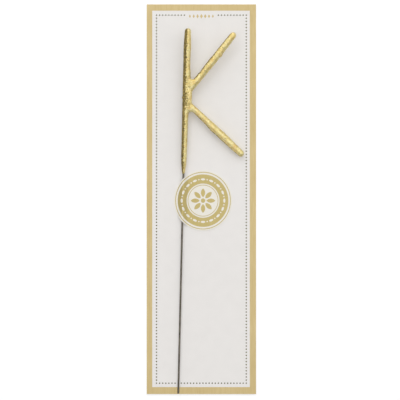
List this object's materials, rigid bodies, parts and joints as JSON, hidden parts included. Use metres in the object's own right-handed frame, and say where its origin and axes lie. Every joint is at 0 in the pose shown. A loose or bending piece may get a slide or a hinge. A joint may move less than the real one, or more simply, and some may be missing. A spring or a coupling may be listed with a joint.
{
  "type": "letter sparkler on a card",
  "caption": "Hand-held sparkler shaped as a letter K with a gold dipped coat and a thin steel wire handle, held on a foil-edged backing card by a round paper seal.",
  "frame": {"origin": "middle of the backing card's back face", "axes": "+X to the right of the letter, +Y towards the letter's top, +Z out of the card's printed face"},
  "size_m": [0.06, 0.214, 0.0089],
  "materials": {
    "handle_steel": "satin",
    "core_steel": "satin",
    "spark_mix": "matte",
    "gold_coat": "satin",
    "card_board": "matte",
    "gold_foil": "satin",
    "adhesive": "satin",
    "label_paper": "matte",
    "seal_foil": "satin"
  },
  "bodies": {
    "card": {"backing_card": "card_board", "foil_border": "gold_foil", "foil_dots": "gold_foil", "foil_ornament": "gold_foil", "seal_adhesive": "adhesive", "seal_label": "label_paper", "seal_foil_rings": "seal_foil", "seal_foil_rosette": "seal_foil"},
    "sparkler": {"stem_wire": "handle_steel", "arm_wire": "core_steel", "weld_spots": "core_steel", "spark_composition": "spark_mix", "gold_coat": "gold_coat"}
  },
  "joints": [
    {"name": "sparkler_pull", "type": "slide", "parent": "card", "child": "sparkler", "axis": [0.0234, 0.9997, 0.0048], "range_m": [0, 0.12]}
  ]
}
